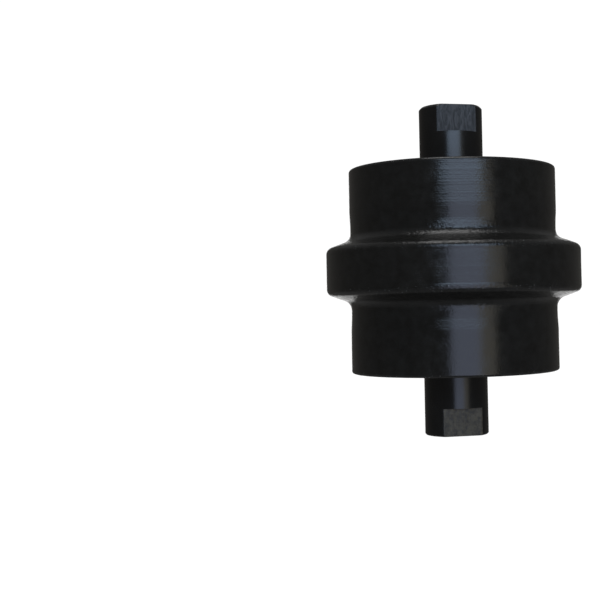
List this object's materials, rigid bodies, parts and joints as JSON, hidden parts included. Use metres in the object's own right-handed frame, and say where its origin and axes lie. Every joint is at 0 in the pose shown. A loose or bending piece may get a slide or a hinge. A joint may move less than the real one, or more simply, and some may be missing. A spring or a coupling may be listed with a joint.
{
  "type": "track roller",
  "caption": "Centre-flanged bottom track roller: forged shell with bushes and face seals, turning on a fixed shaft with flats and tapped ends.",
  "frame": {"origin": "centre of the roller: on the shaft's axis, midway between its ends and in the flange's middle plane", "axes": "+Z along the shaft towards the end with the oil plug, which is the upper end as the roller stands; -Y is the outward normal of the front flats"},
  "size_m": [0.14, 0.14, 0.18],
  "materials": {
    "shell": "satin gloss black paint over turned steel",
    "shaft": "satin gloss black paint over turned and milled steel",
    "collar": "satin black paint over turned steel",
    "bush_steel": "turned steel",
    "bronze": "oiled bearing bronze",
    "seal_metal": "lapped face, cast body",
    "seal_rubber": "matt nitrile rubber",
    "spring_steel": "phosphated spring steel",
    "plug": "zinc plated steel",
    "copper_washer": "soft copper"
  },
  "bodies": {
    "axle": {"axle_shaft": "shaft", "oil_fill_plug": "plug", "oil_plug_washer": "copper_washer", "upper_end_collar": "collar", "upper_stator_seal_ring": "seal_metal", "upper_stator_toric": "seal_rubber", "upper_shaft_o_ring": "seal_rubber", "upper_retaining_ring": "spring_steel", "lower_end_collar": "collar", "lower_stator_seal_ring": "seal_metal", "lower_stator_toric": "seal_rubber", "lower_shaft_o_ring": "seal_rubber", "lower_retaining_ring": "spring_steel"},
    "roller": {"roller_shell": "shell", "upper_bush_backing": "bush_steel", "upper_bush_lining": "bronze", "upper_rotor_seal_ring": "seal_metal", "upper_rotor_toric": "seal_rubber", "lower_bush_backing": "bush_steel", "lower_bush_lining": "bronze", "lower_rotor_seal_ring": "seal_metal", "lower_rotor_toric": "seal_rubber"}
  },
  "joints": [
    {"name": "roller_spin", "type": "hinge", "parent": "axle", "child": "roller", "pos_m": [0, 0, 0], "axis": [0, 0, 1], "continuous": true}
  ]
}
